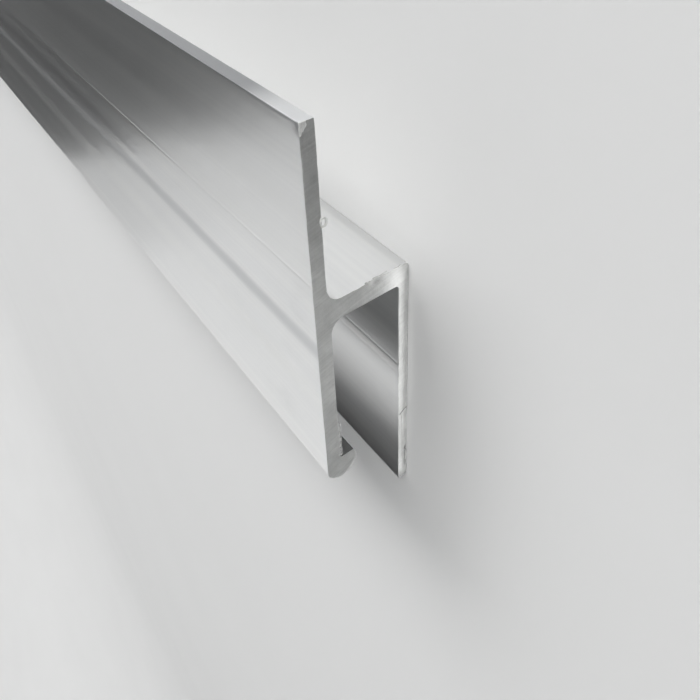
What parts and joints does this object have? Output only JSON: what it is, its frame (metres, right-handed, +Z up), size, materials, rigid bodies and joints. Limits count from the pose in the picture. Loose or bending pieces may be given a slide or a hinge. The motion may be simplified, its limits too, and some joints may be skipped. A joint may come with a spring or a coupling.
{
  "type": "aluminium extrusion profile",
  "caption": "Mill-finish aluminium h-section extrusion: tall back leg, shorter front leg, web between, and a snap barb inside the foot of the channel that grips a panel edge.",
  "frame": {"origin": "middle of the underside of the bounding box, with the profile lying on the outer face of its front leg", "axes": "+Y along the stock, away from the sawn end that is off square; +X across the section, from the feet to the free edge of the back leg; +Z up, from the front leg to the outer face of the back leg"},
  "size_m": [0.0378, 1, 0.0092],
  "materials": {
    "mill_aluminium": "mill finish with fine die lines along the length, ends saw cut"
  },
  "bodies": {
    "root": {"h_profile": "mill_aluminium"}
  },
  "joints": []
}
